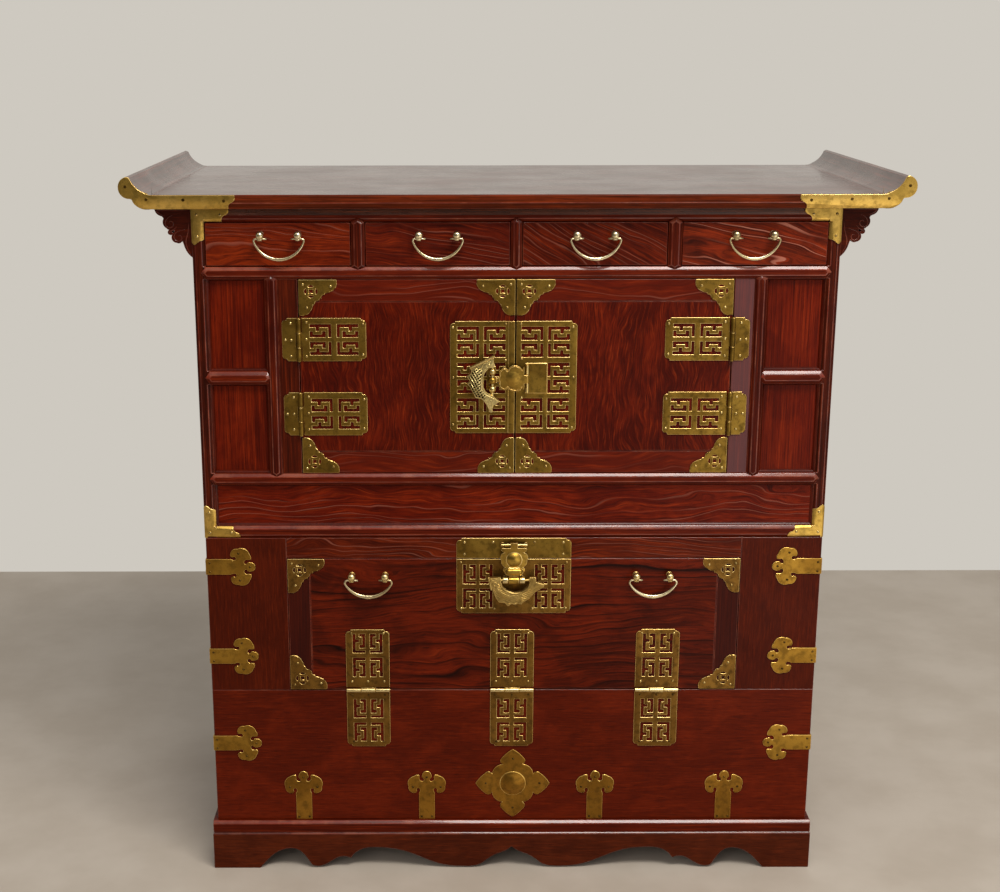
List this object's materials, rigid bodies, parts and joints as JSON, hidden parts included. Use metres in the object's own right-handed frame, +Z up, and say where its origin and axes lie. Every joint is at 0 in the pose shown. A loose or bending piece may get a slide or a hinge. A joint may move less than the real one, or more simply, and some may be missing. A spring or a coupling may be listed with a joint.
{
  "type": "two tier chest",
  "caption": "Low two tier cabinet with small drawers, paired doors and a fall front, upturned scroll ends, pierced brass mounts and fish shaped padlocks.",
  "frame": {"origin": "on the floor, under the middle of the chest's overall box", "axes": "+Z up, +X to the right along the front, +Y from the front to the back"},
  "size_m": [0.9342, 0.4222, 0.9057],
  "materials": {
    "case_wood": "glossy red brown lacquer on elm",
    "panel_wood": "glossy red brown lacquer, strongly figured elm",
    "drawer_wood": "lacquered front, plain inside",
    "inner_wood": "plain unfinished boards",
    "brass_mounts": "aged satin brass",
    "brass_handles": "worn satin brass",
    "brass_locks": "worn satin brass"
  },
  "bodies": {
    "case": {"top_board": "case_wood", "top_scroll_ends": "case_wood", "spandrel_brackets": "case_wood", "upper_posts": "case_wood", "upper_face_rails": "case_wood", "drawer_dividers": "case_wood", "door_stiles": "case_wood", "upper_side_rails": "case_wood", "lower_front_board": "case_wood", "lower_front_stiles": "case_wood", "lower_top_rail": "case_wood", "lower_sides": "case_wood", "plinth_moulding": "case_wood", "plinth_front_apron": "case_wood", "plinth_side_aprons": "case_wood", "plinth_rear_apron": "case_wood", "door_jambs": "panel_wood", "front_panels": "panel_wood", "upper_side_panels": "panel_wood", "upper_back_panel": "inner_wood", "drawer_deck": "inner_wood", "upper_shelves": "inner_wood", "lower_boards": "inner_wood", "lower_back_panel": "inner_wood", "case_corner_mounts": "brass_mounts", "side_straps": "brass_mounts", "base_mounts": "brass_mounts", "door_hinge_case_leaves": "brass_mounts", "hinge_pins": "brass_mounts", "flap_hinge_case_leaves": "brass_mounts", "lock_top_plate": "brass_mounts"},
    "door_left": {"door_left_panel": "panel_wood", "door_left_mounts": "brass_mounts", "door_left_lock_plate": "brass_mounts"},
    "door_right": {"door_right_panel": "panel_wood", "door_right_mounts": "brass_mounts", "door_right_lock_plate": "brass_mounts"},
    "door_hasp": {"door_hasp": "brass_locks"},
    "door_lock": {"door_fish_lock": "brass_locks"},
    "door_bolt": {"door_lock_bolt": "brass_locks"},
    "flap": {"fall_front_panel": "panel_wood", "fall_front_mounts": "brass_mounts", "fall_front_lock_plate": "brass_mounts"},
    "flap_hasp": {"front_hasp": "brass_locks"},
    "flap_lock": {"front_fish_lock": "brass_locks"},
    "flap_bolt": {"front_lock_bolt": "brass_locks"},
    "flap_bail_left": {"front_bail_left": "brass_handles"},
    "flap_bail_right": {"front_bail_right": "brass_handles"},
    "drawer_1": {"drawer_1": "drawer_wood", "drawer_1_pull_posts": "brass_mounts"},
    "drawer_1_bail": {"drawer_1_bail": "brass_handles"},
    "drawer_2": {"drawer_2": "drawer_wood", "drawer_2_pull_posts": "brass_mounts"},
    "drawer_2_bail": {"drawer_2_bail": "brass_handles"},
    "drawer_3": {"drawer_3": "drawer_wood", "drawer_3_pull_posts": "brass_mounts"},
    "drawer_3_bail": {"drawer_3_bail": "brass_handles"},
    "drawer_4": {"drawer_4": "drawer_wood", "drawer_4_pull_posts": "brass_mounts"},
    "drawer_4_bail": {"drawer_4_bail": "brass_handles"}
  },
  "joints": [
    {"name": "drawer_1_slide", "type": "slide", "parent": "case", "child": "drawer_1", "axis": [0, -1, 0], "range_m": [0, 0.28]},
    {"name": "drawer_2_slide", "type": "slide", "parent": "case", "child": "drawer_2", "axis": [0, -1, 0], "range_m": [0, 0.28]},
    {"name": "drawer_3_slide", "type": "slide", "parent": "case", "child": "drawer_3", "axis": [0, -1, 0], "range_m": [0, 0.28]},
    {"name": "drawer_4_slide", "type": "slide", "parent": "case", "child": "drawer_4", "axis": [0, -1, 0], "range_m": [0, 0.28]},
    {"name": "drawer_1_bail_swing", "type": "hinge", "parent": "drawer_1", "child": "drawer_1_bail", "pos_m": [-0.2825, -0.1984, 0.8314], "axis": [-1, 0, 0], "range_deg": [-12, 85]},
    {"name": "drawer_2_bail_swing", "type": "hinge", "parent": "drawer_2", "child": "drawer_2_bail", "pos_m": [-0.0937, -0.1984, 0.8314], "axis": [-1, 0, 0], "range_deg": [-12, 85]},
    {"name": "drawer_3_bail_swing", "type": "hinge", "parent": "drawer_3", "child": "drawer_3_bail", "pos_m": [0.0941, -0.1984, 0.8314], "axis": [-1, 0, 0], "range_deg": [-12, 85]},
    {"name": "drawer_4_bail_swing", "type": "hinge", "parent": "drawer_4", "child": "drawer_4_bail", "pos_m": [0.283, -0.1984, 0.8314], "axis": [-1, 0, 0], "range_deg": [-12, 85]},
    {"name": "door_right_swing", "type": "hinge", "parent": "case", "child": "door_right", "pos_m": [0.2623, -0.1923, 0.6915], "axis": [0, 0, 1], "range_deg": [0, 165]},
    {"name": "door_left_swing", "type": "hinge", "parent": "case", "child": "door_left", "pos_m": [-0.2623, -0.1923, 0.6915], "axis": [0, 0, -1], "range_deg": [0, 165]},
    {"name": "door_hasp_swing", "type": "hinge", "parent": "door_right", "child": "door_hasp", "pos_m": [0.014, -0.1943, 0.6606], "axis": [0, 0, 1], "range_deg": [0, 120]},
    {"name": "door_lock_turn", "type": "hinge", "parent": "door_left", "child": "door_lock", "pos_m": [-0.0283, -0.2024, 0.682], "axis": [0, 0, 1], "range_deg": [-5, 90]},
    {"name": "door_bolt_draw", "type": "slide", "parent": "door_lock", "child": "door_bolt", "axis": [0, 0, 1], "range_m": [0, 0.045]},
    {"name": "flap_swing", "type": "hinge", "parent": "case", "child": "flap", "pos_m": [-0.0012, -0.1918, 0.2512], "axis": [1, 0, 0], "range_deg": [0, 155]},
    {"name": "flap_hasp_swing", "type": "hinge", "parent": "flap", "child": "flap_hasp", "pos_m": [0, -0.2024, 0.4042], "axis": [1, 0, 0], "range_deg": [0, 75]},
    {"name": "flap_lock_swing", "type": "hinge", "parent": "flap", "child": "flap_lock", "pos_m": [0, -0.2024, 0.4042], "axis": [-1, 0, 0], "range_deg": [-8, 60]},
    {"name": "flap_bolt_draw", "type": "slide", "parent": "flap_lock", "child": "flap_bolt", "axis": [-1, 0, 0], "range_m": [0, 0.045]},
    {"name": "flap_bail_left_swing", "type": "hinge", "parent": "flap", "child": "flap_bail_left", "pos_m": [-0.183, -0.1984, 0.4028], "axis": [-1, 0, 0], "range_deg": [-12, 85]},
    {"name": "flap_bail_right_swing", "type": "hinge", "parent": "flap", "child": "flap_bail_right", "pos_m": [0.175, -0.1984, 0.4028], "axis": [-1, 0, 0], "range_deg": [-12, 85]}
  ],
  "couplings": [
    {"joint": "door_left_swing", "follows": "door_right_swing", "ratio": 1}
  ]
}
